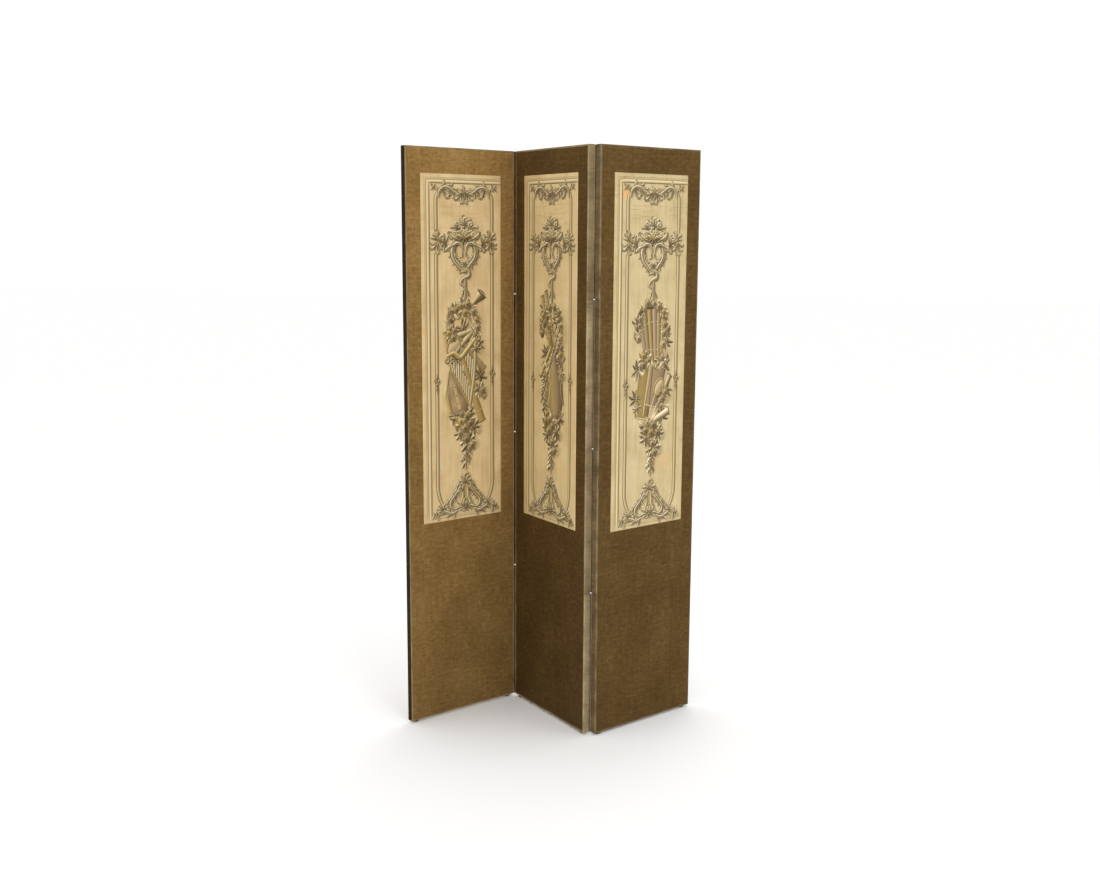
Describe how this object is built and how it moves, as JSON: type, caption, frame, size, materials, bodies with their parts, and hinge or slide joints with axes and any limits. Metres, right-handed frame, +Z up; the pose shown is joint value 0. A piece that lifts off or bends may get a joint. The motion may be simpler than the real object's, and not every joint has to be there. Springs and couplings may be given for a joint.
{
  "type": "folding screen",
  "caption": "Free-standing folding screen of tall cloth-covered panels, each with a long painted picture, joined by double-action cloth hinges.",
  "frame": {"origin": "on the floor, under the middle of the screen's bounding box as it stands folded", "axes": "+X along the screen from its left panel to its right one, -Y out of the painted front, +Z up"},
  "size_m": [0.868, 0.324, 1.785],
  "materials": {
    "frame_wood": "planed softwood, unfinished",
    "dowel_wood": "turned beech, unfinished",
    "hardboard": "pressed board, smooth face out",
    "woven_cloth": "slubbed brown cloth with a slight sheen",
    "binding_tape": "taupe woven tape",
    "hinge_tape": "taupe woven tape, doubled",
    "picture_paper": "painted sheet, matt varnish",
    "glide_metal": "nickelled steel, dulled",
    "nail_steel": "bright wire nail"
  },
  "bodies": {
    "middle_panel": {"middle_panel_left_stile": "frame_wood", "middle_panel_right_stile": "frame_wood", "middle_panel_top_rail": "frame_wood", "middle_panel_bottom_rail": "frame_wood", "middle_panel_cross_rails": "frame_wood", "middle_panel_dowels": "dowel_wood", "middle_panel_front_board": "hardboard", "middle_panel_back_board": "hardboard", "middle_panel_front_cloth": "woven_cloth", "middle_panel_back_cloth": "woven_cloth", "middle_panel_edge_binding": "binding_tape", "middle_panel_picture": "picture_paper", "middle_panel_glides": "glide_metal", "middle_panel_glide_nails": "nail_steel", "left_hinge_flaps_on_middle_panel": "hinge_tape", "right_hinge_flaps_on_middle_panel": "hinge_tape"},
    "left_panel": {"left_panel_left_stile": "frame_wood", "left_panel_right_stile": "frame_wood", "left_panel_top_rail": "frame_wood", "left_panel_bottom_rail": "frame_wood", "left_panel_cross_rails": "frame_wood", "left_panel_dowels": "dowel_wood", "left_panel_front_board": "hardboard", "left_panel_back_board": "hardboard", "left_panel_front_cloth": "woven_cloth", "left_panel_back_cloth": "woven_cloth", "left_panel_edge_binding": "binding_tape", "left_panel_picture": "picture_paper", "left_panel_glides": "glide_metal", "left_panel_glide_nails": "nail_steel", "left_hinge_flaps_on_left_panel": "hinge_tape"},
    "right_panel": {"right_panel_left_stile": "frame_wood", "right_panel_right_stile": "frame_wood", "right_panel_top_rail": "frame_wood", "right_panel_bottom_rail": "frame_wood", "right_panel_cross_rails": "frame_wood", "right_panel_dowels": "dowel_wood", "right_panel_front_board": "hardboard", "right_panel_back_board": "hardboard", "right_panel_front_cloth": "woven_cloth", "right_panel_back_cloth": "woven_cloth", "right_panel_edge_binding": "binding_tape", "right_panel_picture": "picture_paper", "right_panel_glides": "glide_metal", "right_panel_glide_nails": "nail_steel", "right_hinge_flaps_on_right_panel": "hinge_tape"},
    "left_odd_bands": {"left_hinge_band_1": "hinge_tape", "left_hinge_band_3": "hinge_tape"},
    "left_even_bands": {"left_hinge_band_2": "hinge_tape", "left_hinge_band_4": "hinge_tape"},
    "right_odd_bands": {"right_hinge_band_1": "hinge_tape", "right_hinge_band_3": "hinge_tape"},
    "right_even_bands": {"right_hinge_band_2": "hinge_tape", "right_hinge_band_4": "hinge_tape"}
  },
  "joints": [
    {"name": "left_fold_back", "type": "hinge", "parent": "middle_panel", "child": "left_odd_bands", "pos_m": [-0.12714, 0.16077, 0], "axis": [0, 0, -1], "range_deg": [0, 90]},
    {"name": "left_fold_front", "type": "hinge", "parent": "left_odd_bands", "child": "left_panel", "pos_m": [-0.14534, 0.14452, 0], "axis": [0, 0, 1], "range_deg": [-96.5, 83.5]},
    {"name": "left_even_band_turn", "type": "hinge", "parent": "left_panel", "child": "left_even_bands", "pos_m": [-0.16355, 0.16077, 0], "axis": [0, 0, 1], "range_deg": [-1, 95]},
    {"name": "right_fold_front", "type": "hinge", "parent": "middle_panel", "child": "right_even_bands", "pos_m": [0.12714, -0.16077, 0], "axis": [0, 0, -1], "range_deg": [0, 90]},
    {"name": "right_fold_back", "type": "hinge", "parent": "right_even_bands", "child": "right_panel", "pos_m": [0.14534, -0.14452, 0], "axis": [0, 0, 1], "range_deg": [-96.5, 83.5]},
    {"name": "right_odd_band_turn", "type": "hinge", "parent": "right_panel", "child": "right_odd_bands", "pos_m": [0.16355, -0.16077, 0], "axis": [0, 0, 1], "range_deg": [-1, 95]}
  ],
  "couplings": [
    {"joint": "left_even_band_turn", "follows": "left_fold_back", "ratio": 1},
    {"joint": "right_odd_band_turn", "follows": "right_fold_front", "ratio": 1}
  ]
}
